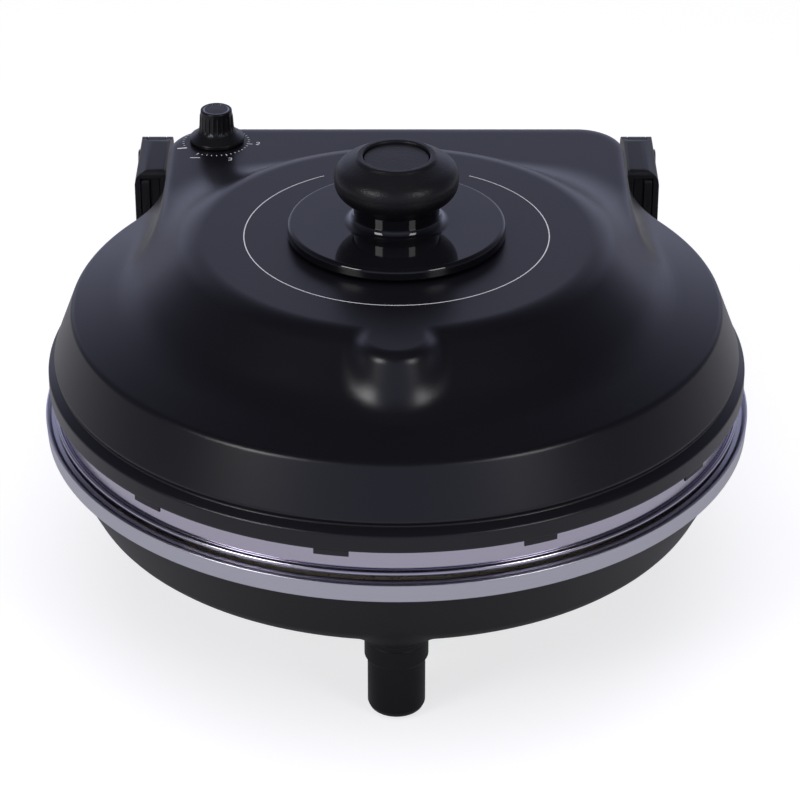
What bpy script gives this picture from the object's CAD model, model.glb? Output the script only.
"""Electric pizza maker: a domed lid with a dial and a knob handle over a steel-rimmed bowl.

The sizes and finishes sit in property groups, each group of like pieces has its own
operator, and main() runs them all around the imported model. Shapes are worked out in
millimetres from the pan's axis, with z = 0 on the table; a mesh is written in metres.
"""

import math
from types import SimpleNamespace

import bmesh
import bpy
import numpy as np
from bpy.props import FloatProperty, FloatVectorProperty, IntProperty, PointerProperty
from bpy.types import Operator, Panel, PropertyGroup
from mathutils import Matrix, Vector


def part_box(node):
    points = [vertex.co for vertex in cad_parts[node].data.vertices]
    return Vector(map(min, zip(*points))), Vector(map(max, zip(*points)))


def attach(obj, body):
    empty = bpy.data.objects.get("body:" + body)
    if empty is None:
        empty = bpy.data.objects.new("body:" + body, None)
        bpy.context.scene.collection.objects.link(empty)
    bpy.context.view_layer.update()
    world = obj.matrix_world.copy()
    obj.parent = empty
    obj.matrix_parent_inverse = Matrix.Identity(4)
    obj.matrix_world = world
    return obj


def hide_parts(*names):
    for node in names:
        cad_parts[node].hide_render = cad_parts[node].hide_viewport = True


bl_info = {
    "name": "Electric pizza maker",
    "version": (1, 0, 0),
    "blender": (4, 5, 0),
    "location": "View3D > Sidebar > Pizza maker",
    "description": "Builds the looks of an electric pizza maker around its packed model",
    "category": "Object",
}

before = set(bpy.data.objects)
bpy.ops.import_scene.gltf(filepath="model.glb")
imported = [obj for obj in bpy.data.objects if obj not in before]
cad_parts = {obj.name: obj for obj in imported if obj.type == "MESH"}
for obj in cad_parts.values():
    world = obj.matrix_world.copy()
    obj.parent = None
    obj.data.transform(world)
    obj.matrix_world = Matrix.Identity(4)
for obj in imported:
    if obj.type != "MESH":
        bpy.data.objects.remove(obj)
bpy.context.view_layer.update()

MM = 0.001
STONE_LOW, STONE_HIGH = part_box("pizza_stone")
PAN_Y = (STONE_LOW.y + STONE_HIGH.y) / 2 / MM
BOSS_DROP = 4.5          # the front foot's boss, below the bowl
LINER_GAP = 8.3          # the liner's wall, inside the radius of the lid's edge
BEAD_DROP = 13           # the liner's rolled bead, below the lid's edge
INK = 0.05               # thickness of the printed lines
WELD = 0.002             # corners of packed triangles that are this close are one
FLAT, SOFT, BEVELLED = 0.6, 32, 38       # degrees: joined below, sharp above, bevelled above


# ---------- sizes and colours ----------

def length(name, about, default):
    """A length property in metres, its default given in millimetres."""
    return FloatProperty(name=name, description=about, default=default * MM, min=0,
                         unit="LENGTH", precision=5)


def tint(name, about, default):
    """A colour property."""
    return FloatVectorProperty(name=name, description=about, default=default, size=3,
                               min=0, max=1, subtype="COLOR")


def share(name, about, default):
    """A property from 0 to 1."""
    return FloatProperty(name=name, description=about, default=default, min=0, max=1,
                         subtype="FACTOR")


class BaseSizes(PropertyGroup):
    rim_z: length("Rim height", "Height of the rim band's lower edge", 85)
    rim_h: length("Rim band", "Height of the rim band", 10)
    rim_r: length("Rim radius", "Outermost radius of the rim band", 175.9)
    bowl_r: length("Bowl radius", "Radius of the bowl under the rim band", 171)
    bowl_depth: length("Bowl depth", "Depth of the bowl below the rim band", 39.5)
    bowl_lean: length("Bowl lean", "How far the bowl's side leans in", 18)
    sheet: length("Sheet", "Thickness of the painted sheet", 1.2)
    bright_sheet: length("Bright sheet", "Thickness of the bright sheet", 1)
    stone_r: length("Stone radius", "Radius of the baking stone", 155)
    foot_y: length("Foot distance", "Distance from the pan's axis to the front foot", 134)
    foot_r: length("Foot radius", "Radius of the front foot's leg", 13.8)
    collar_r: length("Collar radius", "Radius of the front foot's collar", 15.3)
    collar_h: length("Collar height", "Height of the front foot's collar", 10)
    pad_r: length("Pad radius", "Radius of the rubber pad", 9.5)
    pad_t: length("Pad thickness", "Thickness of the rubber pad", 3)


class LidSizes(PropertyGroup):
    edge: length("Edge height", "Height of the lid's lower edge", 112)
    skirt_r: length("Edge radius", "Radius of the lid's lower edge", 173.3)
    bead_z: length("Bead height", "Height of the pressed bead", 126.3)
    shoulder_r: length("Shoulder radius", "Radius of the shoulder", 160.5)
    shoulder_z: length("Shoulder height", "Height of the shoulder", 151.7)
    crease_r: length("Crease radius", "Radius of the crease", 131.3)
    crease_z: length("Crease height", "Height of the crease", 160.1)
    top_r: length("Flat top radius", "Radius of the flat top", 102)
    top_z: length("Flat top height", "Height of the flat top", 186.9)
    nose_r: length("Nose radius", "Radius of the pressed nose", 18.5)
    nose_y: length("Nose distance", "Distance from the pan's axis to the nose", 105.5)
    rear_z: length("Rear height", "Height of the raised rear part", 175)
    rear_half: length("Rear half width", "Half of the width of the rear part", 122.4)
    rear_back: length("Rear foot", "Distance from the axis to the rear wall's foot", 178)
    rear_lean: length("Rear lean", "How far the rear wall leans forward", 28)
    rear_corner: length("Rear corner", "Radius of the rear part's corners", 24)
    slant_x: length("Slant from the axis", "Where the slanted front corners begin", 105)
    slant_y: length("Slant depth", "How far behind the axis they begin", 20)
    slant_turn: IntProperty(name="Slant turn", description="Degrees that they run back towards "
                            "the sides", default=63, min=0, max=80)
    slant_fall: IntProperty(name="Slant fall", description="Degrees that they fall",
                            default=45, min=20, max=80)
    ring_r: length("Printed ring", "Radius of the thin printed ring", 74.7)
    ring_w: length("Ring width", "Width of the printed lines", 0.55)


class HandleSizes(PropertyGroup):
    disc_z: length("Disc height", "Height of the disc's underside", 188.3)
    disc_r: length("Disc radius", "Radius of the glossy disc", 53.5)
    disc_t: length("Disc thickness", "Thickness of the glossy disc", 5.8)
    neck_r: length("Neck radius", "Radius of the neck", 21)
    neck_h: length("Neck height", "Height of the neck", 10)
    head_r: length("Head radius", "Widest radius of the head", 30.3)
    head_h: length("Head height", "Height of the head", 25.3)
    cap_r: length("Cap radius", "Radius of the round cap", 14.5)


class DialSizes(PropertyGroup):
    x: length("Dial distance", "Distance of the dial to the left of the axis", 94.8)
    y: length("Dial depth", "Distance of the dial behind the axis", 132.9)
    z: length("Dial height", "Height of the knob's lower edge", 175.6)
    skirt_r: length("Skirt radius", "Radius of the knob's skirt", 14.3)
    grip_r: length("Grip radius", "Radius of the ribbed grip", 8.8)
    height: length("Knob height", "Height of the knob", 17.5)
    flare: length("Flare height", "Height of the flared skirt", 5.5)
    scale_x: length("Scale distance", "Distance of the scale to the left of the axis", 95.2)
    scale_y: length("Scale depth", "Distance of the scale behind the axis", 131.2)
    scale_r: length("Scale radius", "Radius of the printed scale", 17.2)
    ribs: IntProperty(name="Ribs", description="Number of ribs round the grip",
                      default=22, min=8, max=40)


class PaintColours(PropertyGroup):
    lid: tint("Lid paint", "Satin paint of the lid", (0.0052, 0.0050, 0.0074))
    bowl: tint("Bowl paint", "Paint of the bowl", (0.0060, 0.0058, 0.0076))
    steel: tint("Steel", "Bright steel of rim and liner", (0.62, 0.61, 0.68))
    stone: tint("Stone", "Baking stone", (0.66, 0.56, 0.42))
    plastic: tint("Plastic", "Black moulded plastic", (0.0075, 0.0075, 0.0092))
    print_white: tint("Print", "Pale printed lines", (0.62, 0.62, 0.66))
    satin: share("Satin", "Roughness of the lid's paint", 0.31)


def sizes_mm(group):
    """The lengths of a property group in millimetres, its other values as they are."""
    out = {}
    for key in group.__annotations__:
        value = getattr(group, key)
        out[key] = value / MM if isinstance(value, float) else value
    return SimpleNamespace(**out)


# ---------- surfaces ----------

def profile(corners, closed=False, turn=9.0, longest=8.0):
    """Path through corners (x, y, radius). Each corner becomes the arc that touches both
    of its runs, and each straight run gets points close to its ends, so that smooth
    shading stays on the arcs."""
    at = [np.array(c[:2], float) for c in corners]
    count = len(corners)
    arcs = []
    for i, corner in enumerate(corners):
        if corner[2] == 0 or (not closed and i in (0, count - 1)):
            arcs.append(at[i][None])
            continue
        a, b, c = at[i - 1] - at[i], at[i], at[(i + 1) % count] - at[i]
        la, lc = np.hypot(*a), np.hypot(*c)
        a, c = a / la, c / lc
        half = math.acos(max(-1.0, min(1.0, float(a @ c)))) / 2
        if abs(half - math.pi / 2) < 1e-4:
            arcs.append(b[None])
            continue
        cut = min(corner[2] / math.tan(half), 0.49 * min(la, lc))
        r = cut * math.tan(half)
        centre = b + (a + c) / np.hypot(*(a + c)) * r / math.sin(half)
        first, last = b + a * cut - centre, b + c * cut - centre
        side = math.copysign(1, first[0] * last[1] - first[1] * last[0])
        sweep = math.pi - 2 * half
        steps = max(2, math.ceil(math.degrees(sweep) / turn))
        angle = math.atan2(first[1], first[0]) + side * sweep * np.linspace(0, 1, steps + 1)
        arcs.append(centre + r * np.stack([np.cos(angle), np.sin(angle)], 1))
    out = []
    for i, bend in enumerate(arcs):
        out.append(bend)
        if i < count - 1 or closed:
            p, q = bend[-1], arcs[(i + 1) % count][0]
            run = float(np.hypot(*(q - p)))
            if run > 1e-6:
                inset = min(0.3, 0.2 * run) / run
                inner = np.linspace(0, 1, max(1, math.ceil(run / longest)) + 1)[1:-1]
                s = np.unique(np.concatenate([[inset], inner, [1 - inset]]))
                out.append(p + s[:, None] * (q - p))
    return np.vstack(out)


def offset(corners, t):
    """Open path of corners moved by t to its right, with its radii kept parallel."""
    pts = np.array([c[:2] for c in corners], float)
    way = np.diff(pts, axis=0)
    way /= np.linalg.norm(way, axis=1)[:, None]
    right = np.stack([way[:, 1], -way[:, 0]], 1)
    before, after = np.vstack([right[:1], right]), np.vstack([right, right[-1:]])
    mitre = (before + after) / (1 + (before * after).sum(1))[:, None]
    bend = np.sign(before[:, 0] * after[:, 1] - before[:, 1] * after[:, 0])
    return [(x, y, 0 if c[2] == 0 else max(0.15, c[2] + t * b))
            for (x, y), c, b in zip(pts + t * mitre, corners, bend)]


def sheet_profile(corners, t):
    """Closed outline of a sheet of thickness t whose outer face follows the corners."""
    return np.vstack([profile(corners), profile(offset(corners, t))[::-1]])


def polar(r, a, z, at=(0.0, 0.0)):
    """Points (x0 + r cos a, y0 + r sin a, z), with at = (x0, y0)."""
    r, a, z = np.broadcast_arrays(r, a, z)
    return np.stack([at[0] + r * np.cos(a), at[1] + r * np.sin(a), z], -1)


def full_turn(count):
    """count angles all the way round, one below the other."""
    return np.linspace(0, 2 * math.pi, count, endpoint=False)[:, None]


def revolve(path, count, at=(0.0, 0.0)):
    """The points (r, z) of a profile turned about the upright axis through at."""
    return polar(path[:, 0], full_turn(count), path[:, 1], at)


def tube(path, radius, sides):
    """Round tube along a path: at each point a circle in the plane across the path, its
    first direction carried along without twist."""
    way = np.gradient(path, axis=0)
    way /= np.linalg.norm(way, axis=1)[:, None]
    up = np.zeros_like(path)
    last = np.array([0, 0, 1.0]) if abs(way[0, 2]) < 0.9 else np.array([1.0, 0, 0])
    for i, ahead in enumerate(way):
        last = last - (last @ ahead) * ahead
        last = last / np.linalg.norm(last)
        up[i] = last
    side = np.cross(way, up)
    a = full_turn(sides)
    return path[:, None] + radius * (np.cos(a) * up[:, None] + np.sin(a) * side[:, None])


def smooth_path(points, radius):
    """Polyline in space whose corners are rounded by curves that start radius before each
    corner: quadratic curves through the two cut points with the corner as their handle.
    Its straight runs get a point about every 1.5 mm."""
    step = 1.5
    p = [np.array(q, float) for q in points]
    out = [p[0][None]]
    for a, b, c in zip(p, p[1:], p[2:]):
        la, lc = np.linalg.norm(a - b), np.linalg.norm(c - b)
        r = min(radius, 0.49 * la, 0.49 * lc)
        start, stop = b + (a - b) / la * r, b + (c - b) / lc * r
        s = np.linspace(0, 1, 9)[:, None]
        out.append((1 - s) ** 2 * start + 2 * s * (1 - s) * b + s ** 2 * stop)
    out.append(p[-1][None])
    rough = np.vstack(out)
    gone = np.concatenate([[0], np.cumsum(np.linalg.norm(np.diff(rough, axis=0), axis=1))])
    even = np.linspace(0, gone[-1], max(2, int(gone[-1] / step)))
    at = np.unique(np.concatenate([gone, even]).round(4))
    return np.stack([np.interp(at, gone, rough[:, k]) for k in range(3)], 1)


def grid_faces(rows, columns, start, wrap_rows, wrap_columns):
    """Corner numbers of the quads of a grid of points, wrapped round where asked."""
    i = np.arange(rows if wrap_rows else rows - 1)[:, None]
    j = np.arange(columns if wrap_columns else columns - 1)[None]
    i2, j2 = (i + 1) % rows, (j + 1) % columns
    quads = np.stack([i * columns + j, i2 * columns + j, i2 * columns + j2,
                      i * columns + j2], 2)
    return quads.reshape(-1, 4) + start


def make_piece(name, grids, body, look, replaces=(), rings=(), sharp=None):
    """One object from grids of points, each (points, wrap rows, wrap columns), and from
    flat rings of points. Equal points are welded, so seams and poles close, and the
    normals are then turned outwards."""
    points, quads, flat = [], [], []
    start = 0
    for grid, wrap_rows, wrap_columns in grids:
        rows, columns = grid.shape[:2]
        points.append(grid.reshape(-1, 3))
        quads.append(grid_faces(rows, columns, start, wrap_rows, wrap_columns))
        start += rows * columns
    for ring in rings:
        points.append(ring)
        flat.append(np.arange(len(ring)) + start)
        start += len(ring)
    points = np.vstack(points)
    _, first, number = np.unique(points.round(3), axis=0, return_index=True,
                                 return_inverse=True)
    number = number.reshape(-1)
    quads = number[np.vstack(quads)]
    same = quads == np.roll(quads, -1, 1)
    faces = quads[~same.any(1)].tolist()
    for k in range(4):
        one = (same.sum(1) == 1) & same[:, k]
        faces += np.delete(quads[one], k, 1).tolist()
    faces += [number[f].tolist() for f in flat]
    mesh = bpy.data.meshes.new(name)
    mesh.from_pydata(((points[first] + [0, PAN_Y, 0]) * MM).tolist(), [], faces)
    reworked(mesh, lambda work: bmesh.ops.recalc_face_normals(work, faces=work.faces), sharp)
    dress(name, mesh, body, look, replaces)


def reworked(mesh, change, sharp):
    """Changes a mesh and shades it smooth, except over edges of more than sharp degrees."""
    work = bmesh.new()
    work.from_mesh(mesh)
    change(work)
    work.to_mesh(mesh)
    work.free()
    mesh.polygons.foreach_set("use_smooth", [True] * len(mesh.polygons))
    if sharp:
        mesh.set_sharp_from_angle(angle=math.radians(sharp))


def turned(name, corners, count, body, look, replaces, at=(0.0, 0.0), slot=None,
           sharp=None, **spacing):
    """Piece turned about an upright axis, from a path that leaves the axis and returns."""
    path = profile(corners, **spacing)
    make_piece(name, [(revolve(path, count, at), True, False)], body, look, replaces,
               sharp=sharp)


def dress(name, mesh, body, look, replaces):
    """A new piece with the finish that look names, which rides on its body. Its slot has
    the same name as its finish, unless another is given."""
    piece = put(name, mesh)
    coat(mesh, look)
    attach(piece, body)
    if replaces:
        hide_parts(*replaces)
    return piece


def put(name, data):
    """A new object of the scene."""
    made = bpy.data.objects.new(name, data)
    bpy.context.scene.collection.objects.link(made)
    return made


def coat(mesh, look):
    """Gives a mesh the finish of that name and no other."""
    mesh.materials.clear()
    mesh.materials.append(finish(look))


def joined(work):
    """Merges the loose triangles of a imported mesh, and joins its flat areas."""
    bmesh.ops.remove_doubles(work, verts=work.verts, dist=WELD * MM)
    bmesh.ops.dissolve_limit(work, angle_limit=math.radians(FLAT), verts=work.verts,
                             edges=work.edges)


def softened(node, body, look, width, segments=2):
    """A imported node's shape as a new piece with its sharp edges bevelled."""
    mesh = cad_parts[node].data.copy()
    mesh.name = node + "_moulded"
    for key in list(mesh.attributes.keys()):
        if key.startswith("custom_normal"):
            mesh.attributes.remove(mesh.attributes[key])
    reworked(mesh, joined, SOFT)
    piece = dress(mesh.name, mesh, body, look, (node,))
    bevel = piece.modifiers.new("Rounded edges", "BEVEL")
    bevel.width = width * MM
    bevel.segments = segments
    bevel.limit_method = "ANGLE"
    bevel.angle_limit = math.radians(BEVELLED)
    bevel.use_clamp_overlap = True
    even = piece.modifiers.new("Even shading", "WEIGHTED_NORMAL")
    even.keep_sharp = True


# ---------- finishes ----------

class Term:
    """A number socket; sums and products of terms add Math nodes."""

    def __init__(self, finish, socket):
        self.finish, self.socket = finish, socket

    def math(self, operation, *others):
        """A Math node with this term as its first input."""
        return self.finish.node("ShaderNodeMath", {"operation": operation},
                                dict(enumerate((self,) + others)))

    def __add__(self, other):
        return self.math("ADD", other)

    def __mul__(self, other):
        return self.math("MULTIPLY", other)

    def __sub__(self, other):
        return self.math("SUBTRACT", other)

    def __rsub__(self, other):
        return (self * -1) + other

    __radd__ = __add__
    __rmul__ = __mul__

    def above(self, edge, soft):
        """0 below edge, 1 above edge + soft, and a straight ramp in between."""
        return self.finish.node("ShaderNodeClamp", {}, {
            0: (self - edge).math("DIVIDE", soft)})

    def smooth(self, low, high, start, end):
        """start below low, end above high, and a smooth step in between."""
        return self.finish.node("ShaderNodeMapRange", {"interpolation_type": "SMOOTHSTEP"}, {
            "Value": self, "From Min": low, "From Max": high, "To Min": start, "To Max": end})


class Finish:
    """The nodes of one material, over Object coordinates, or of the world."""

    def __init__(self, owner, output="ShaderNodeOutputMaterial", place="Object"):
        owner.use_nodes = True
        self.owner, self.tree = owner, owner.node_tree
        self.tree.nodes.clear()
        self.out = self.tree.nodes.new(output)
        self.place = self.node("ShaderNodeTexCoord", out=place)

    def node(self, kind, settings=(), inputs=(), out=0):
        """A node of that type: settings first, then the values or links of its sockets."""
        made = self.tree.nodes.new(kind)
        for key, value in dict(settings).items():
            setattr(made, key, value)
        for key, value in dict(inputs).items():
            if isinstance(value, Term):
                self.tree.links.new(value.socket, made.inputs[key])
            else:
                made.inputs[key].default_value = value
        return Term(self, made.outputs[out])

    def noise(self, scale, detail=3.0, rough=0.55, place=None):
        """Noise from 0 to 1; scale is in waves per metre."""
        return self.node("ShaderNodeTexNoise", {}, {
            "Vector": place or self.place, "Scale": scale, "Detail": detail,
            "Roughness": rough})

    def cells(self, scale):
        """Distance to the nearest of scattered points; scale is in points per metre."""
        return self.node("ShaderNodeTexVoronoi", {}, {"Vector": self.place, "Scale": scale})

    def parts(self):
        """x, y and z of the place."""
        split = self.node("ShaderNodeSeparateXYZ", {}, {0: self.place}).socket.node
        return [Term(self, socket) for socket in split.outputs]

    def round_the_axis(self, along, across):
        """Coordinates that run round the pan's axis: (radius, height, angle) scaled so
        that a pattern is drawn out along the circle."""
        x, y, z = self.parts()
        y = y - PAN_Y * MM
        radius = (x * x + y * y).math("SQRT")
        angle = y.math("ARCTAN2", x)
        return self.node("ShaderNodeCombineXYZ", {}, {
            0: radius * across, 1: z * across, 2: angle * along})

    def mix(self, factor, a, b):
        """Colour a where factor is 0, b where it is 1."""
        return self.node("ShaderNodeMix", {"data_type": "RGBA"}, {
            0: factor, 6: a if isinstance(a, Term) else (*a, 1),
            7: b if isinstance(b, Term) else (*b, 1)}, out=2)

    def bump(self, height, strength, distance):
        """A normal tilted by the slope of height; distance is the height of 1 in metres."""
        return self.node("ShaderNodeBump", {}, {
            "Strength": strength, "Distance": distance, "Height": height})

    def shade(self, colour, roughness, normal, **fixed):
        """The surface shader; what fixed holds is the same all over."""
        inputs = {"Base Color": colour, "Roughness": roughness, "Normal": normal}
        inputs.update({key.replace("_", " "): value for key, value in fixed.items()})
        return self.show(self.node("ShaderNodeBsdfPrincipled", {}, inputs))

    def show(self, shader):
        """Links the shader to the output."""
        self.tree.links.new(shader.socket, self.out.inputs["Surface"])
        return self.owner


def colours():
    """The scene's colours and the sheen of its paint."""
    return bpy.context.scene.pizza_colours


def scaled(colour, factor):
    """A colour made darker or lighter."""
    return tuple(min(1.0, c * factor) for c in colour)


def lid_paint(f):
    """Satin baked paint: very fine orange peel, faint cloudiness in its sheen."""
    c = colours()
    peel = f.noise(520, 2.0, 0.5)
    grain = f.noise(2600, 1.0, 0.5)
    cloud = f.noise(9, 2.0, 0.5)
    normal = f.bump(peel * 0.75 + grain * 0.25, 0.35, 0.00006)
    return f.shade(f.mix(cloud, scaled(c.lid, 0.92), scaled(c.lid, 1.08)),
                   cloud * 0.05 + (c.satin - 0.025) + (grain - 0.5) * 0.05, normal,
                   Specular_IOR_Level=0.5)


def bowl_paint(f):
    """Darker satin paint of the bowl."""
    paint = colours().bowl
    return patchy(f, (12, 2.0, 0.5), (480, 2.0, 0.5), scaled(paint, 0.9), scaled(paint, 1.1),
                  (0.06, 0.33), (0.35, 0.00006), Specular_IOR_Level=0.2)


def drawn_steel(f, roughness, tone, depth, tinted=(1.0, 1.0, 1.0)):
    """Bright sheet with fine lines drawn out round the pan's axis."""
    lines = f.noise(1, 2.0, 0.6, f.round_the_axis(14, 2600))
    patch = f.noise(26, 2.0, 0.5)
    base = tuple(v * tone * t for v, t in zip(colours().steel, tinted))
    return f.shade(f.mix(lines * 0.6 + patch * 0.4, scaled(base, 0.93), scaled(base, 1.05)),
                   lines * 0.09 + patch * 0.05 + (roughness - 0.07),
                   f.bump(lines, 0.4, depth), Metallic=1.0)


def patchy(f, patches, grain, dark, light, sheen, relief, **fixed):
    """Colour from dark to light over the patches, roughness sheen[0] times them plus
    sheen[1], and relief (strength, height) from the grain, or from them if it is None.
    Patches and grain are noises (scale, detail, roughness)."""
    patch = f.noise(*patches)
    height = f.noise(*grain) if grain else patch
    return f.shade(f.mix(patch, dark, light), patch * sheen[0] + sheen[1],
                   f.bump(height, *relief), **fixed)


def element_steel(f):
    """Sheathed heating tube, darkened unevenly by heat."""
    patch = f.noise(55, 4.0, 0.6)
    fine = f.noise(900, 2.0, 0.6)
    return f.shade(f.mix(patch, (0.055, 0.050, 0.050), (0.17, 0.155, 0.15)),
                   fine * 0.2 + 0.36, f.bump(fine, 0.4, 0.00004), Metallic=0.75)


def stone_ceramic(f):
    """Fired cordierite: warm grey-beige with pores and darker specks."""
    stone = colours().stone
    cloud = f.noise(22, 4.0, 0.6)
    grit = f.noise(950, 3.0, 0.7)
    specks = f.cells(420).above(0.16, 0.10)
    body = f.mix(cloud * 0.6 + grit * 0.4, scaled(stone, 0.80), scaled(stone, 1.12))
    colour = f.mix(specks, scaled(stone, 0.45), body)
    return f.shade(colour, grit * 0.1 + 0.78, f.bump(grit * 0.7 + specks * 0.3, 0.7, 0.00025))


def moulded(f, tone, roughness, grain, deep, gloss):
    """Moulded plastic with a spark-eroded grain."""
    colour = scaled(colours().plastic, tone)
    fine = f.noise(grain, 2.0, 0.6)
    cloud = f.noise(18, 2.0, 0.5)
    return f.shade(f.mix(cloud, scaled(colour, 0.85), scaled(colour, 1.15)),
                   fine * 0.10 + cloud * 0.05 + (roughness - 0.075), f.bump(fine, 0.5, deep),
                   Specular_IOR_Level=gloss)


def handle_grain(f):
    """Leather-like grain of the handle's head."""
    plastic = colours().plastic
    cell = f.cells(900)
    fine = f.noise(1900, 2.0, 0.6)
    height = cell * 0.75 + fine * 0.35
    return f.shade(f.mix(fine, scaled(plastic, 0.9), scaled(plastic, 1.3)),
                   fine * 0.12 + 0.30, f.bump(height, 0.65, 0.00014), Specular_IOR_Level=0.32)


def print_white(f):
    """Pale screen print with a slightly uneven ink film."""
    ink = colours().print_white
    return patchy(f, (1500, 2.0, 0.6), None, scaled(ink, 0.88), ink, (0.1, 0.45),
                  (0.3, 0.00001))


METAL = {"Metallic": 1.0}
# Each finish: its function, then that function's values, then what is the same all over.
LOOKS = {
    "lid_paint": (lid_paint, (), {}),
    "bowl_paint": (bowl_paint, (), {}),
    "rim_steel": (drawn_steel, (0.30, 1.0, 0.000012), {}),
    "liner_steel": (drawn_steel, (0.20, 0.95, 0.000006, (1.03, 0.985, 1.03)), {}),
    "reflector_steel": (drawn_steel, (0.34, 0.8, 0.000006), {}),
    # plated steel with a faint blotchy sheen
    "bracket_steel": (patchy, ((160, 3, 0.6), (900, 1), (0.42, 0.42, 0.44),
                               (0.55, 0.55, 0.57), (0.15, 0.27), (0.3, 0.00002)), METAL),
    # zinc-plated fasteners
    "fixing_steel": (patchy, ((300, 3, 0.6), (1500, 1), (0.50, 0.50, 0.49),
                              (0.64, 0.64, 0.62), (0.18, 0.22), (0.3, 0.00002)), METAL),
    "bulb_copper": (patchy, ((120, 3, 0.6), (900, 1), (0.50, 0.26, 0.15),
                             (0.68, 0.38, 0.24), (0.2, 0.24), (0.3, 0.00002)), METAL),
    "element_steel": (element_steel, (), {}),
    "stone_ceramic": (stone_ceramic, (), {}),
    "foot_plastic": (moulded, (1, 0.33, 1300, 0.00003, 0.2), {}),
    "housing_plastic": (moulded, (1.25, 0.42, 1500, 0.00005, 0.4), {}),
    "dial_plastic": (moulded, (1, 0.30, 1800, 0.00002, 0.4), {}),
    "handle_grain": (handle_grain, (), {}),
    # highly polished black plastic of disc and neck
    "handle_gloss": (patchy, ((40, 2, 0.5), (30, 1), (0.0045, 0.0045, 0.006),
                              (0.007, 0.007, 0.009), (0.03, 0.05), (0.15, 0.00004)),
                     {"Coat_Weight": 0.15, "Coat_Roughness": 0.03}),
    "pad_rubber": (patchy, ((1600, 2, 0.6), None, (0.012, 0.012, 0.012),
                            (0.028, 0.028, 0.028), (0.1, 0.72), (0.6, 0.00008)), {}),
    "tab_paint": (patchy, ((700, 2, 0.5), None, (0.010, 0.010, 0.012),
                           (0.015, 0.015, 0.018), (0.08, 0.36), (0.4, 0.00005)), {}),
    # heat-proof plastic of switch and terminals
    "pale_plastic": (patchy, ((60, 3, 0.5), (1200, 2), (0.60, 0.57, 0.50),
                              (0.70, 0.67, 0.60), (0.1, 0.42), (0.4, 0.00004)), {}),
    # woven glass sleeve of the inner leads
    "lead_sleeve": (patchy, ((1400, 2, 0.6), None, (0.55, 0.50, 0.42),
                             (0.72, 0.68, 0.60), (0.1, 0.62), (0.6, 0.0001)), {}),
    "print_white": (print_white, (), {}),
}
MADE = {}


def finish(look):
    """The material of that name, made once."""
    if look not in MADE:
        maker, values, fixed = LOOKS[look]
        MADE[look] = maker(Finish(bpy.data.materials.new(look)), *values, **fixed)
    return MADE[look]


# ---------- base ----------

def bowl_corners(b):
    """Outer face of the bowl, from inside the rim band down to its middle."""
    floor = b.rim_z - b.bowl_depth
    return [(b.bowl_r, b.rim_z + 6, 0), (b.bowl_r, b.rim_z, 2),
            (b.bowl_r - b.bowl_lean, floor + 2.5, 16),
            (b.bowl_r - b.bowl_lean - 22, floor, 24), (0, floor, 0)]


def foot_boss(b):
    """Boss under the bowl: from a ring on the bowl's own underside the surface runs
    towards the foot's collar. With s from 0 to 1 its radius round the foot falls as
    1 - sin(s pi / 2) and its height passes from the bowl's to the collar's as a smooth
    step, so it leaves the bowl without a crease."""
    under = profile(bowl_corners(b), longest=1.0)
    order = np.argsort(under[:, 0], kind="stable")
    floor = b.rim_z - b.bowl_depth
    wide, narrow, neck, low = b.collar_r + 9, b.collar_r + 1, floor - 1.5, floor - BOSS_DROP
    s = np.linspace(0, 1, 22)[None]
    at = (0, -b.foot_y)
    radius = narrow + (wide - narrow) * (1 - np.sin(s * math.pi / 2))
    boss = polar(radius, full_turn(96), 0, at)
    height = np.interp(np.hypot(boss[..., 0], boss[..., 1]), under[order, 0], under[order, 1])
    step = ramp(s, 0, 1)
    boss[..., 2] = height * (1 - step) + neck * step
    wall = profile([(narrow, neck, 0), (narrow - 0.5, low, 0.8), (0, low, 0)])
    return [(boss, True, False), (revolve(wall, 96, at), True, False)]


class PIZZA_OT_bowl(Operator):
    """Bowl, rim band, foot boss and the plated pan inside"""
    bl_idname = "pizza.bowl"
    bl_label = "Bowl and rim"

    def execute(self, context):
        b = sizes_mm(context.scene.pizza_base)
        shell = sheet_profile(bowl_corners(b), b.sheet)
        make_piece("bowl_shell", [(revolve(shell, 220), True, True)] + foot_boss(b),
                   "base", "bowl_paint", ("base_bowl",))
        top = b.rim_z + b.rim_h
        band = sheet_profile(
            [(b.bowl_r - 2.6, top - 0.6, 0), (b.bowl_r - 0.2, top + 0.6, 0.9),
             (b.rim_r - 2.8, top + 0.1, 0.9), (b.rim_r, top + 1.6, 0.8),
             (b.rim_r - 0.6, b.rim_z + 1.6, 0.9), (b.bowl_r + 1.4, b.rim_z + 0.4, 0)],
            b.bright_sheet)
        hem_r, hem_z = b.bowl_r + 1.3, b.rim_z + 1
        hem = profile([(b.bowl_r, b.rim_z, 0.3), (hem_r, b.rim_z, 0.3),
                       (hem_r, hem_z, 0.3), (b.bowl_r, hem_z, 0.3)], True)
        make_piece("rim_band", [(revolve(path, 240), True, True) for path in (band, hem)],
                   "base", "rim_steel", ("rim_ring",), sharp=50)
        floor = b.rim_z - b.bowl_depth + 11.5
        side = b.bowl_r - 9
        pan = [(0, floor, 0), (b.bowl_r - 28, floor, 8), (side, b.rim_z - 2, 8),
               (side + 3, b.rim_z + 6, 1.5), (b.bowl_r, b.rim_z + 6, 0)]
        sheet = sheet_profile(pan, -b.bright_sheet)
        make_piece("plated_pan", [(revolve(sheet, 200), True, True)],
                   "base", "reflector_steel", ("base_reflector",))
        return {"FINISHED"}


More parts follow.
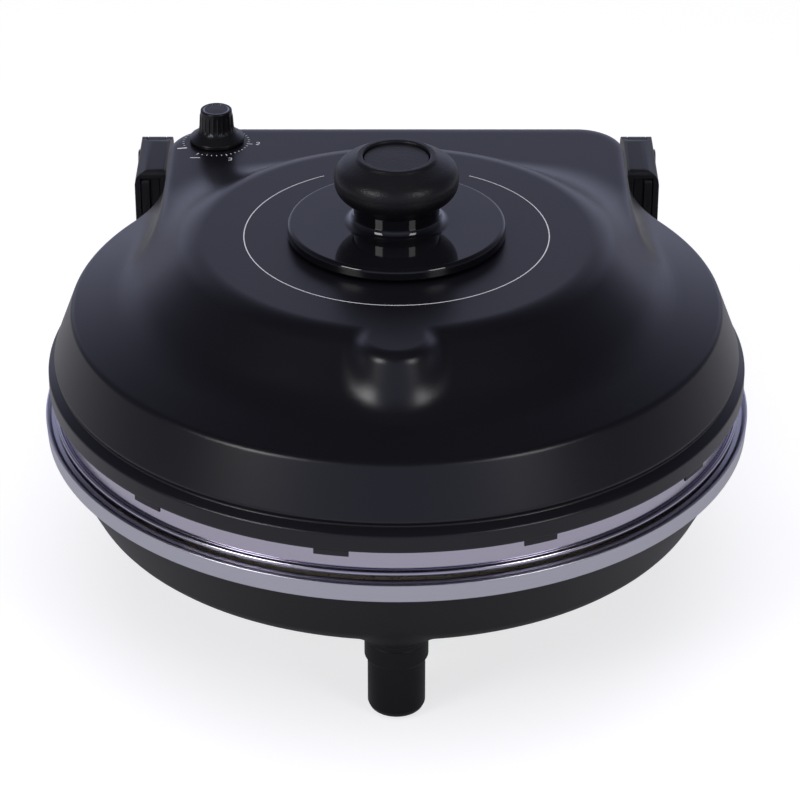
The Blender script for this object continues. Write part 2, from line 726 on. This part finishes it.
class PIZZA_OT_stone(Operator):
    """Round baking stone"""
    bl_idname = "pizza.stone"
    bl_label = "Baking stone"

    def execute(self, context):
        r = sizes_mm(context.scene.pizza_base).stone_r
        low, high = STONE_LOW.z / MM, STONE_HIGH.z / MM
        turned("baking_stone", [(0, low, 0), (r, low, 1.5), (r, high, 1.5), (0, high, 0)],
               200, "base", "stone_ceramic", ("pizza_stone",), slot="stone", longest=10)
        return {"FINISHED"}


class PIZZA_OT_feet(Operator):
    """Front foot with its collar, pad and screw, and the rear pads"""
    bl_idname = "pizza.feet"
    bl_label = "Feet"

    def execute(self, context):
        b = sizes_mm(context.scene.pizza_base)
        top = b.rim_z - b.bowl_depth - BOSS_DROP
        collar = top - b.collar_h
        foot = b.pad_t - 1
        at = (0, -b.foot_y)
        turned("foot_leg", [(0, foot, 0), (b.pad_r + 0.4, foot, 0),
                            (b.foot_r - 1.2, foot, 1.4), (b.foot_r, b.pad_t + 1.6, 1.6),
                            (b.foot_r, collar - 0.6, 0.5), (b.collar_r, collar, 1.0),
                            (b.collar_r, top, 0.7), (0, top, 0)],
               96, "base", "foot_plastic", ("front_foot",), at)
        pad_top = b.pad_t - 0.5
        turned("foot_pad", [(0, 0, 0), (b.pad_r, 0, 0.6), (b.pad_r, pad_top, 0.4),
                            (0, pad_top, 0)],
               64, "base", "pad_rubber", ("front_foot_pad",), at)
        softened("rear_foot_pads", "base", "pad_rubber", 0.5)
        return {"FINISHED"}


class PIZZA_OT_rear(Operator):
    """Rear housing, posts, arms and pins of the hinge"""
    bl_idname = "pizza.rear"
    bl_label = "Rear housing and hinge"

    def execute(self, context):
        softened("rear_housing", "base", "housing_plastic", 0.8)
        softened("housing_floor", "base", "housing_plastic", 0.4)
        for side in ("left", "right"):
            softened("hinge_post_" + side, "base", "housing_plastic", 0.7)
            softened("lid_arm_" + side, "lid", "housing_plastic", 0.6, 3)
            softened("hinge_pin_" + side, "base", "fixing_steel", 0.5)
        softened("lid_rear_cover", "lid", "housing_plastic", 0.3)
        softened("cord_gland", "base", "pad_rubber", 0.5)
        return {"FINISHED"}


# ---------- lid ----------

def blend_low(a, b, k):
    """Smooth union of two distances: the lower one, less (k - |a - b|)^2 / (4 k) where
    they differ by less than k."""
    h = np.maximum(k - np.abs(a - b), 0)
    return np.minimum(a, b) - h * h / (4 * k)


def blend_high(a, b, k):
    """Smooth meeting of two distances: the higher one, plus the same rounding."""
    return -blend_low(-a, -b, k)


def ramp(x, low, high):
    """Smooth step from 0 at low to 1 at high."""
    t = np.clip((x - low) / (high - low), 0, 1)
    return t * t * (3 - 2 * t)


class DomeField:
    """Signed distance to the painted dome: a round wall profile, a flat top that cuts it,
    a nose at the front and the raised part at the rear, joined by smooth unions."""

    step = 0.25          # of the distance table
    reach = (190, 240)   # the table's largest radius and height
    side_lean = 0.045    # of the rear part's sides, inwards for each mm of height
    front_end = -10      # of the rear part's level top
    nose_lean = 0.34     # of the nose's side, outwards for each mm down
    nose_in = 1.2        # from its radius to where its side meets the flat top
    # how widely they run into each other
    front_round, rear_round, nose_round, top_round = 8, 5, 6, 5
    valley_round, valley_more = 5, 11
    valley_x, valley_y = (50, 105), (122, 156)      # where it widens, where it narrows again

    def __init__(self, s):
        self.s = s
        steep = np.array([s.crease_r - s.top_r, s.crease_z - s.top_z])
        steep /= np.hypot(*steep)
        apex = (s.top_r - steep[0] * 60, s.top_z - steep[1] * 60, 0)
        self.wall_corners = [apex, (s.crease_r, s.crease_z, 42),
                             (s.shoulder_r, s.shoulder_z, 4), (s.skirt_r - 3.1, s.bead_z, 1.6),
                             (s.skirt_r - 4.2, s.bead_z - 2.6, 0.8),
                             (s.skirt_r, s.bead_z - 6, 1.8), (s.skirt_r, s.edge - 12, 0)]
        self.wall = profile(self.wall_corners, turn=5, longest=500)
        self.low = np.array([-2.0, s.edge - 10])
        shape = (np.array(self.reach) - self.low) / self.step
        r, z = np.meshgrid(self.low[0] + np.arange(int(shape[0])) * self.step,
                           self.low[1] + np.arange(int(shape[1])) * self.step, indexing="ij")
        self.table = self.to_path(r, z)

    def to_path(self, r, z):
        """Distance of points (r, z) to the wall's path, positive on its outer side."""
        best = np.full(r.shape, 1e9)
        sign = np.ones(r.shape)
        for (ar, az), (br, bz) in zip(self.wall, self.wall[1:]):
            dr, dz = br - ar, bz - az
            t = np.clip(((r - ar) * dr + (z - az) * dz) / (dr * dr + dz * dz), 0, 1)
            er, ez = r - ar - t * dr, z - az - t * dz
            d = np.hypot(er, ez)
            side = dr * ez - dz * er
            closer = d < best - 1e-9
            best = np.where(closer, d, best)
            sign = np.where(closer, np.where(side > 0, 1.0, -1.0), sign)
        return best * sign

    def round_wall(self, r, z):
        """The distance table read between its points."""
        u = np.clip((r - self.low[0]) / self.step, 0, self.table.shape[0] - 1.001)
        v = np.clip((z - self.low[1]) / self.step, 0, self.table.shape[1] - 1.001)
        i, j = u.astype(int), v.astype(int)
        fu, fv = u - i, v - j
        t = self.table
        return ((t[i, j] * (1 - fv) + t[i, j + 1] * fv) * (1 - fu)
                + (t[i + 1, j] * (1 - fv) + t[i + 1, j + 1] * fv) * fu)

    def rear(self, x, y, z):
        """The raised rear part: level top, leaning rear wall with round corners, sides
        that lean in, and front corners that slant down to the dome."""
        s = self.s
        up = z - s.edge
        tilt = math.atan2(s.rear_lean, s.rear_z - s.edge)
        plan_y = (y - s.rear_back) * math.cos(tilt) + up * math.sin(tilt)
        qx = np.abs(x) - (s.rear_half - self.side_lean * up - s.rear_corner)
        qy = plan_y + s.rear_corner
        walls = (np.hypot(np.maximum(qx, 0), np.maximum(qy, 0))
                 + np.minimum(np.maximum(qx, qy), 0) - s.rear_corner)
        turn, fall = math.radians(s.slant_turn), math.radians(s.slant_fall)
        out = (np.abs(x) - s.slant_x) * math.sin(turn) - (y - s.slant_y) * math.cos(turn)
        slant = (z - s.rear_z) * math.cos(fall) + out * math.sin(fall)
        top = blend_high(z - s.rear_z, slant, self.front_round)
        top = blend_high(top, self.front_end - y, self.front_round)
        return blend_high(walls, top, self.rear_round)

    def __call__(self, p):
        """The distance at points p. The union with the rear part is wider in the valleys
        at its sides, where |x| is large and y small; 0.95 turns the nose's horizontal
        distance into a distance across its side."""
        s = self.s
        x, y, z = p[..., 0], p[..., 1], p[..., 2]
        wall = self.round_wall(np.hypot(x, y), z)
        drop = s.top_z - z
        nose = (np.hypot(x, y + s.nose_y) - s.nose_r + self.nose_in
                - drop * self.nose_lean) * 0.95
        body = blend_low(wall, nose, self.nose_round)
        valley = self.valley_round + self.valley_more * (
            ramp(np.abs(x), *self.valley_x) * (1 - ramp(y, *self.valley_y)))
        body = blend_low(body, self.rear(x, y, z), valley)
        return blend_high(body, -drop, self.top_round)


def lid_directions(s, field, rows):
    """Points of the dome's own profile from the middle of the top down to the edge,
    closer together on its beads and bends."""
    path = profile([(0, s.top_z, 0), (s.top_r, s.top_z, 9)] + field.wall_corners[1:-1]
                   + [(s.skirt_r, s.edge, 0)], turn=3, longest=1.0)
    gone = np.concatenate([[0], np.cumsum(np.hypot(*np.diff(path, axis=0).T))])
    even = np.linspace(0, gone[-1], 4000)
    r, z = np.interp(even, gone, path[:, 0]), np.interp(even, gone, path[:, 1])
    want = (0.18 + 0.9 * ramp(r, 70, 92) + 1.6 * (abs(z - s.bead_z + 2) < 7)
            + 1.4 * (np.hypot(r - s.shoulder_r, z - s.shoulder_z) < 7)
            + 0.5 * (abs(r - s.top_r) < 8))
    pick = spread(even, want, rows)
    return np.interp(pick, gone, path[:, 0]), np.interp(pick, gone, path[:, 1])


def spread(even, want, count):
    """count values along even, as close together as want is high."""
    total = np.concatenate([[0], np.cumsum((want[1:] + want[:-1]) / 2)])
    return np.interp(np.linspace(0, total[-1], count), total, even)


def lid_turns(columns):
    """Angles round the axis, closer together at the nose and at the rear part's sides."""
    even = np.linspace(0, 360, 7201)
    turn = (even + 90) % 360
    from_nose = np.minimum(turn, 360 - turn)
    want = (1.0 + 1.8 * (from_nose < 15) + 1.1 * ((from_nose > 108) & (from_nose < 166))
            + 0.3 * (from_nose >= 166))
    return np.radians(spread(even, want, columns + 1)[:-1])


def halved(inside, shape, low, high, steps):
    """For each of the points of that shape, where between low and high the inside ends."""
    low, high = np.full(shape, low), np.full(shape, high)
    for _ in range(steps):
        mid = (low + high) / 2
        within = inside(mid)
        low, high = np.where(within, mid, low), np.where(within, high, mid)
    return high


def lid_skin(field, r, z, turns, depth):
    """Points of the lid depth under its face. From the middle of its edge plane a ray
    goes through each point of the dome's profile, turned by each angle, and the place
    where the field equals -depth is found by halving, between 0.45 and 1.5 of the ray."""
    heart = np.array([0, 0, field.s.edge])
    way = polar(r, turns[:, None], z - heart[2])
    far = halved(lambda t: field(heart + way * t[..., None]) < -depth,
                 way.shape[:2], 0.45, 1.5, 24)
    return heart + way * far[..., None]


class PIZZA_OT_lid_shell(Operator):
    """Painted lid: dome, flat top, nose and raised rear part in one skin"""
    bl_idname = "pizza.lid_shell"
    bl_label = "Lid shell"

    grid, quick_grid = (350, 215), (240, 150)     # columns and rows of its face
    back_rows = 30
    lip_drop = 0.35      # of the rounded lower edge

    def execute(self, context):
        s = sizes_mm(context.scene.pizza_lid)
        sheet = sizes_mm(context.scene.pizza_base).sheet
        field = DomeField(s)
        columns, rows = self.grid
        turns = lid_turns(columns)
        face = lid_skin(field, *lid_directions(s, field, rows), turns, 0.0)
        back = lid_skin(field, *lid_directions(s, field, self.back_rows), turns, sheet)
        lip = (face[:, -1:] + back[:, -1:]) / 2 - [0, 0, self.lip_drop]
        skin = np.concatenate([face, lip, back[:, ::-1]], 1)
        make_piece("lid_skin", [(skin, True, False)], "lid", "lid_paint", ("lid_shell",))
        return {"FINISHED"}


def stroke(path, width):
    """Flat line along a plane path: each point moved half the width to both sides."""
    way = np.gradient(path, axis=0)
    way /= np.linalg.norm(way, axis=1)[:, None]
    side = np.stack([way[:, 1], -way[:, 0]], 1) * width / 2
    return np.stack([path - side, path + side], 1)


def arc(centre, radius, start, stop, steps):
    """Plane points of an arc, its angles in degrees."""
    return polar(radius, np.radians(np.linspace(start, stop, steps)), 0, centre)[:, :2]


def straight(a, b, steps=4):
    """Plane points of a straight run from a to b."""
    return np.array(a, float) + np.linspace(0, 1, steps)[:, None] * np.subtract(b, a)


def printed(field, flat):
    """Plane points laid on the lid: at each the height where the field equals the thickness
    of the ink is found by halving."""
    z = halved(lambda mid: field(np.concatenate([flat, mid[..., None]], -1)) < INK,
               flat.shape[:2], field.s.edge, 200.0, 26)
    return np.concatenate([flat, z[..., None]], -1)


def digits(width, height):
    """Paths of the digits 1, 2 and 3 about their middle."""
    w, h = width / 2, height / 2
    one = np.vstack([straight((-w * 0.5, h * 0.55), (w * 0.15, h)),
                     straight((w * 0.16, h), (w * 0.15, -h), 6)])
    two = np.vstack([arc((0, h * 0.45), w, 165, -35, 12),
                     straight((w * 0.6, h * 0.05), (-w, -h), 6)[1:],
                     straight((-w, -h), (w, -h), 5)[1:]])
    bow = h * 0.5
    upper = arc((0, bow), bow, 150, -90, 12) * [w / bow, 1]
    lower = arc((0, -bow), bow, 90, -150, 12) * [w / bow, 1]
    return one, two, np.vstack([upper, lower[1:]])


class PIZZA_OT_lid_print(Operator):
    """Thin printed ring round the handle, and the scale round the dial"""
    bl_idname = "pizza.lid_print"
    bl_label = "Printed lines"

    ring_ends = (119.5, 420.5)             # degrees
    first, apart, last = 205, 8.57, 38     # degrees of the first mark, between marks, count
    # (inner end, outer end, width) of a mark about the scale's radius
    mark = (-0.55, 0.55, 0.45)
    long_marks = {18: (-0.7, 2.3, 0.5), 25: (-0.7, 2.3, 0.5), 32: (-0.7, 1.4, 0.5),
                  38: (-0.7, 1.4, 0.6)}
    digit_size, digit_line = (1.7, 3.0), 0.5
    digit_places = ((49, 5.2), (-6, 5.0), (-69, 5.8))      # degrees, outside the scale
    # degrees, outside the scale, half length, half rise, width
    bars = ((205, 2.1, 2.5, 0.5, 1.3), (243, 4.9, 2.6, 0.0, 0.8))

    def execute(self, context):
        field = DomeField(sizes_mm(context.scene.pizza_lid))
        s, d = field.s, sizes_mm(context.scene.pizza_dial)
        ring = stroke(arc((0, 0), s.ring_r, *self.ring_ends, 241), s.ring_w)
        make_piece("printed_ring", [(printed(field, ring), False, False)], "lid",
                   "print_white")
        middle = np.array([-d.scale_x, d.scale_y])

        def place(turn, out):
            return arc(middle, d.scale_r + out, turn, turn, 1)[0]

        lines = []
        for k in range(1, self.last + 1):
            near, far, width = self.long_marks.get(k, self.mark)
            turn = self.first - self.apart * k
            lines.append(stroke(straight(place(turn, near), place(turn, far)), width))
        for path, (turn, out) in zip(digits(*self.digit_size), self.digit_places):
            lines.append(stroke(path + place(turn, out), self.digit_line))
        for turn, out, half, rise, width in self.bars:
            at = place(turn, out)
            lines.append(stroke(straight(at - [half, rise], at + [half, rise]), width))
        make_piece("dial_scale", [(printed(field, line), False, False) for line in lines],
                   "lid", "print_white")
        return {"FINISHED"}


class PIZZA_OT_liner(Operator):
    """Bright liner with its rolled edge, and the dark tabs that hold it"""
    bl_idname = "pizza.liner"
    bl_label = "Liner and tabs"

    tabs, first_tab, tab_width = 11, -100, 16.5     # number, degrees, mm
    last_sine = 0.6         # none where the rear part stands
    roll_r = 1.7

    def execute(self, context):
        s = sizes_mm(context.scene.pizza_lid)
        b = sizes_mm(context.scene.pizza_base)
        wall, bead, top = s.skirt_r - LINER_GAP, s.edge - BEAD_DROP, s.crease_z + 2
        sheet = sheet_profile(
            [(0, top, 0), (30, top, 30), (wall - 62, top - 4, 60),
             (wall - 14, s.edge + 27, 16), (wall, s.edge + 13, 8),
             (wall + 4.2, s.edge + 3, 6), (wall + 4.2, bead + 1.4, 0.4),
             (wall + 4.6, bead + 1.0, 0)], b.bright_sheet)
        roll = arc((wall + 4.9, bead), self.roll_r, 0, 342, 20)
        make_piece("bright_liner", [(revolve(sheet, 240), True, False),
                                    (revolve(roll, 240), True, True)],
                   "lid", "liner_steel", ("lid_liner",))
        outer, inner = s.skirt_r - b.sheet, wall + 4.3
        face = outer - 1.1
        low, high, shelf, under = s.edge - 3.8, s.edge + 5.4, s.edge + 2.1, s.edge + 1
        hook = profile([(outer, low, 0.4), (outer, high, 0.2), (face, high, 0.2),
                        (face, shelf, 0.3), (inner, shelf, 0.2), (inner, under, 0.2),
                        (face, under, 0.5), (face, low, 0.4)], True)
        across = np.array([-1, -0.995, -0.6, -0.2, 0.2, 0.6, 0.995, 1])[:, None]
        grids, rings = [], []
        for i in range(self.tabs):
            turn = math.radians(self.first_tab + i * 360 / self.tabs)
            if math.sin(turn) > self.last_sine:
                continue
            at = turn + self.tab_width / 2 / s.skirt_r * across
            tab = polar(hook[:, 0], at, hook[:, 1])
            grids.append((tab, False, True))
            rings += [tab[0], tab[-1]]
        make_piece("folded_tabs", grids, "lid", "tab_paint", ("liner_tabs",), rings=rings,
                   sharp=40)
        return {"FINISHED"}


class PIZZA_OT_heating(Operator):
    """Heating elements, their clips, the sensor and the inner leads"""
    bl_idname = "pizza.heating"
    bl_label = "Heating and wiring"

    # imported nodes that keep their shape, by finish
    carried = {
        "element_steel": ("lower_heating_element",),
        "bracket_steel": ("lower_element_clips", "stone_supports", "upper_element_clips",
                          "bulb_clips"),
        "pale_plastic": ("terminal_block", "thermostat_body"),
        "lead_sleeve": ("base_wiring", "lid_wiring"),
        "bulb_copper": ("thermostat_bulb",),
        "fixing_steel": ("front_foot_screw", "housing_screws", "post_screws",
                         "lid_arm_screws", "rear_cover_screws", "handle_bolt",
                         "handle_washer", "handle_nut", "thermostat_nut",
                         "thermostat_shaft"),
        "handle_gloss": ("handle_spacer",),
    }

    inset, above_edge = 47, 19      # of the upper loop, from the liner's wall and the edge
    leg, tube_r, bend = 14, 3.3, 7  # half the distance of its cold legs, radii
    trim = 6                        # points of the loop that each bend takes up

    def execute(self, context):
        s = sizes_mm(context.scene.pizza_lid)
        radius, leg, z = s.skirt_r - LINER_GAP - self.inset, self.leg, s.edge + self.above_edge
        gap = math.asin(leg / radius)
        a = math.pi / 2 + np.linspace(gap, 2 * math.pi - gap, 200)
        loop = polar(radius, a, z)
        ends = radius * math.cos(gap)
        legs = smooth_path([(-leg, ends, s.crease_z + 5), (-leg, ends, z), loop[self.trim]],
                           self.bend)
        other = legs[::-1] * [-1, 1, 1]
        body = tube(np.vstack([legs[:-1], loop[self.trim:-self.trim], other[1:]]),
                    self.tube_r, 20)
        make_piece("upper_loop", [(body, False, True)], "lid", "element_steel",
                   ("upper_heating_element",), (body[0], body[-1]), 50)
        for look, nodes in self.carried.items():
            for name in nodes:
                coat(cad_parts[name].data, look)
        return {"FINISHED"}


# ---------- handle and dial ----------

class PIZZA_OT_handle(Operator):
    """Glossy disc and neck, grained head and its round cap"""
    bl_idname = "pizza.handle"
    bl_label = "Handle"

    def execute(self, context):
        h = sizes_mm(context.scene.pizza_handle)
        neck_z = h.disc_z + h.disc_t
        head_z = neck_z + h.neck_h
        top = head_z + h.head_h
        turned("handle_disc", [(0, h.disc_z, 0), (h.disc_r, h.disc_z, 1),
                               (h.disc_r, neck_z, 2), (h.neck_r, neck_z, 8.5),
                               (h.neck_r, head_z, 0), (0, head_z, 0)],
               200, "lid", "handle_gloss", ("handle_base",), sharp=60, turn=5, longest=5)
        ring_out, ring_in = h.cap_r + 4.6, h.cap_r + 1.8
        cap_r, seat = ring_in - 0.4, top - 3.8
        turned("handle_grip", [(0, head_z, 0), (h.neck_r + 0.6, head_z, 1.2),
                               (h.head_r, head_z + 8, 9), (h.head_r, top - 6, 10),
                               (ring_out + 1.2, top - 1.5, 0.6), (ring_out, top, 1.1),
                               (ring_in, top, 1.0), (ring_in - 0.2, seat, 0.2),
                               (0, seat, 0)],
               180, "lid", "handle_grain", ("handle_head",), turn=5, longest=2)
        turned("handle_insert", [(0, seat, 0), (cap_r, seat, 0.3), (cap_r, top - 1.5, 0.5),
                                 (0, top - 1.3, 0)],
               120, "lid", "handle_grain", ("handle_cap",), turn=6, longest=3)
        return {"FINISHED"}


class PIZZA_OT_dial(Operator):
    """Ribbed dial knob with its inlaid disc, ring and pointer line"""
    bl_idname = "pizza.dial"
    bl_label = "Dial knob"

    rib_rise, rib_sink = 0.42, 0.1    # of a rib's crest over the valleys, and of these
    pointer = (249, 261)              # degrees

    def execute(self, context):
        d = sizes_mm(context.scene.pizza_dial)
        at = (-d.x, d.y)
        top, collar, under = d.z + d.height, d.z + d.flare, d.z + 3.2
        cap_r = d.grip_r - 2.1
        path = profile([(0, under, 0), (d.skirt_r - 3.6, under, 0.3),
                        (d.skirt_r - 3.4, d.z, 0.3), (d.skirt_r, d.z, 0.3),
                        (d.skirt_r, d.z + 1.8, 0.8), (d.grip_r + 0.1, collar, 6),
                        (d.grip_r - 0.6, top, 2), (cap_r + 0.15, top, 0.25),
                        (cap_r + 0.1, top - 0.9, 0.2), (0, top - 0.9, 0)],
                       turn=8, longest=1.5)
        turns = full_turn(d.ribs * 10)
        r, z = path.T
        ribbed = (ramp(z, collar, collar + 2) * (1 - ramp(z, top - 3.4, top - 2.2))
                  * (r > d.grip_r - 1))
        wave = np.maximum(np.cos(turns * d.ribs), 0) ** 1.5
        radius = r + ribbed * (self.rib_rise * wave - self.rib_sink)
        make_piece("dial_grip", [(polar(radius, turns, z, at), True, False)], "dial",
                   "dial_plastic", ("thermostat_knob",))
        turned("dial_inlay", [(0, top - 1.2, 0), (cap_r, top - 1.2, 0.2),
                              (cap_r, top - 0.25, 0.25), (0, top - 0.15, 0)],
               72, "dial", "dial_plastic", ("knob_cap",), at, longest=1)
        ring = arc((0, 0), 1, 0, 324, 10) * [0.42, 0.2] + [cap_r - 0.2, top - 0.28]
        make_piece("dial_ring", [(revolve(ring, 72, at), True, True)], "dial",
                   "bracket_steel")
        a = np.radians(np.linspace(*self.pointer, 7))[:, None]
        on = np.linspace(0.15, 0.85, 4)[None]
        dash = polar(d.skirt_r - 0.5 - 2.2 * on, a, d.z + 1.95 + 0.9 * on, at)
        make_piece("dial_pointer", [(dash, False, False)], "dial", "print_white")
        return {"FINISHED"}


# ---------- stage ----------

class PIZZA_OT_stage(Operator):
    """Camera, floor, soft lamps and surroundings"""
    bl_idname = "pizza.stage"
    bl_label = "Stage"

    lens, sensor = 144, 36
    slope, distance = math.radians(29.733), 1.613007     # of the camera, above its aim
    aim = (0.001683, PAN_Y * MM, 0.09314)
    floor_half = 15
    floor_colour = (0.40, 0.40, 0.44, 1)
    floor_seen = 0.72           # its glow for the camera, under and near the object
    floor_far = 0.27            # what the glow gains between these distances
    floor_fade = (0.9, 2.5)
    floor_mirrored = 0.13       # its glow in gloss and glass
    lamp_aim = Vector((0, 0, 0.12))
    # place, size, watts, and whether gloss shows it
    lamps = {"soft_left": ((-1.27, -1.15, 0.95), (0.6, 0.65), 9, True),
             "soft_right": ((1.15, -1.27, 0.95), (0.5, 0.65), 5.5, True),
             "top_fill": ((0, -0.2, 2.4), (2.6, 2.6), 48, False)}
    room_colour, room_strength = (0.76, 0.80, 1.10, 1), 0.86

    def execute(self, context):
        scene = context.scene
        scene.view_settings.view_transform = "Standard"
        camera = bpy.data.cameras.new("photo_view")
        camera.lens, camera.sensor_width = self.lens, self.sensor
        camera.clip_end = 50
        view = put("photo_view", camera)
        x, y, z = self.aim
        view.location = (x, y - self.distance * math.cos(self.slope),
                         z + self.distance * math.sin(self.slope))
        view.rotation_euler = (math.pi / 2 - self.slope, 0, 0)
        scene.camera = view
        self.floor()
        self.surroundings(scene)
        for name, (place, size, watts, gloss) in self.lamps.items():
            light = bpy.data.lights.new(name, "AREA")
            light.shape = "RECTANGLE"
            light.size, light.size_y = size
            light.energy = watts
            lamp = put(name, light)
            lamp.location = place
            lamp.rotation_euler = (self.lamp_aim - Vector(place)).to_track_quat(
                "-Z", "Y").to_euler()
            lamp.visible_camera = False
            lamp.visible_glossy = gloss
        return {"FINISHED"}

    def floor(self):
        """Pale floor: a white glow for the camera and a faint one for gloss and glass are
        added to a grey surface, which takes the object's shadow."""
        half = self.floor_half
        mesh = bpy.data.meshes.new("floor")
        mesh.from_pydata([(-half, -half, 0), (half, -half, 0), (half, half, 0),
                          (-half, half, 0)], [], [(0, 1, 2, 3)])
        put("floor", mesh)
        f = Finish(bpy.data.materials.new("pale_floor"))
        seen, glossy, through = (f.node("ShaderNodeLightPath", out=name) for name in (
            "Is Camera Ray", "Is Glossy Ray", "Is Transmission Ray"))
        away = f.node("ShaderNodeVectorMath", {"operation": "LENGTH"}, {0: f.place}, "Value")
        far = away.above(*self.floor_fade)
        strength = (seen * (far * self.floor_far + self.floor_seen)
                    + glossy.math("MAXIMUM", through) * self.floor_mirrored)
        soft = f.node("ShaderNodeBsdfDiffuse", {}, {"Color": self.floor_colour})
        glow = f.node("ShaderNodeEmission", {}, {"Color": (1, 1, 1, 1), "Strength": strength})
        mesh.materials.append(f.show(f.node("ShaderNodeAddShader", {}, {0: soft, 1: glow})))

    def surroundings(self, scene):
        """White for the camera. All else sees a room with a pale horizon behind: with
        (x, y, z) the direction and S a smooth step, its strength is
        0.86 (1 - S(z, 0.1, 0.85)) (1 - 0.8 S(|x|, 0.45, 0.8)) (0.6 + 0.4 S(y, -0.3, 0.3))."""
        scene.world = bpy.data.worlds.new("studio")
        f = Finish(scene.world, "ShaderNodeOutputWorld", "Generated")
        x, y, z = f.parts()
        strength = (self.room_strength * z.smooth(0.1, 0.85, 1, 0)
                    * x.math("ABSOLUTE").smooth(0.45, 0.8, 1, 0.2)
                    * y.smooth(-0.3, 0.3, 0.6, 1))
        room = f.node("ShaderNodeBackground", {}, {"Color": self.room_colour,
                                                   "Strength": strength})
        white = f.node("ShaderNodeBackground", {}, {"Color": (1, 1, 1, 1), "Strength": 1})
        seen = f.node("ShaderNodeLightPath", out="Is Camera Ray")
        f.show(f.node("ShaderNodeMixShader", {}, {0: seen, 1: room, 2: white}))


class PIZZA_PT_panel(Panel):
    """Lists the operators of the pizza maker"""
    bl_label = "Pizza maker"
    bl_idname = "PIZZA_PT_panel"
    bl_space_type = "VIEW_3D"
    bl_region_type = "UI"
    bl_category = "Pizza maker"

    def draw(self, context):
        for operator in OPERATORS:
            self.layout.operator(operator.bl_idname)


OPERATORS = (PIZZA_OT_stage, PIZZA_OT_bowl, PIZZA_OT_stone, PIZZA_OT_feet, PIZZA_OT_rear,
             PIZZA_OT_lid_shell, PIZZA_OT_lid_print, PIZZA_OT_liner, PIZZA_OT_heating,
             PIZZA_OT_handle, PIZZA_OT_dial)
GROUPS = {"pizza_base": BaseSizes, "pizza_lid": LidSizes, "pizza_handle": HandleSizes,
          "pizza_dial": DialSizes, "pizza_colours": PaintColours}


def register():
    for group in GROUPS.values():
        bpy.utils.register_class(group)
    for key, group in GROUPS.items():
        setattr(bpy.types.Scene, key, PointerProperty(type=group))
    for operator in OPERATORS:
        bpy.utils.register_class(operator)
    bpy.utils.register_class(PIZZA_PT_panel)


def unregister():
    bpy.utils.unregister_class(PIZZA_PT_panel)
    for operator in reversed(OPERATORS):
        bpy.utils.unregister_class(operator)
    for key in GROUPS:
        delattr(bpy.types.Scene, key)
    for group in GROUPS.values():
        bpy.utils.unregister_class(group)


def main():
    register()
    for operator in OPERATORS:
        getattr(bpy.ops.pizza, operator.bl_idname.split(".")[1])()


if __name__ == "__main__":
    main()
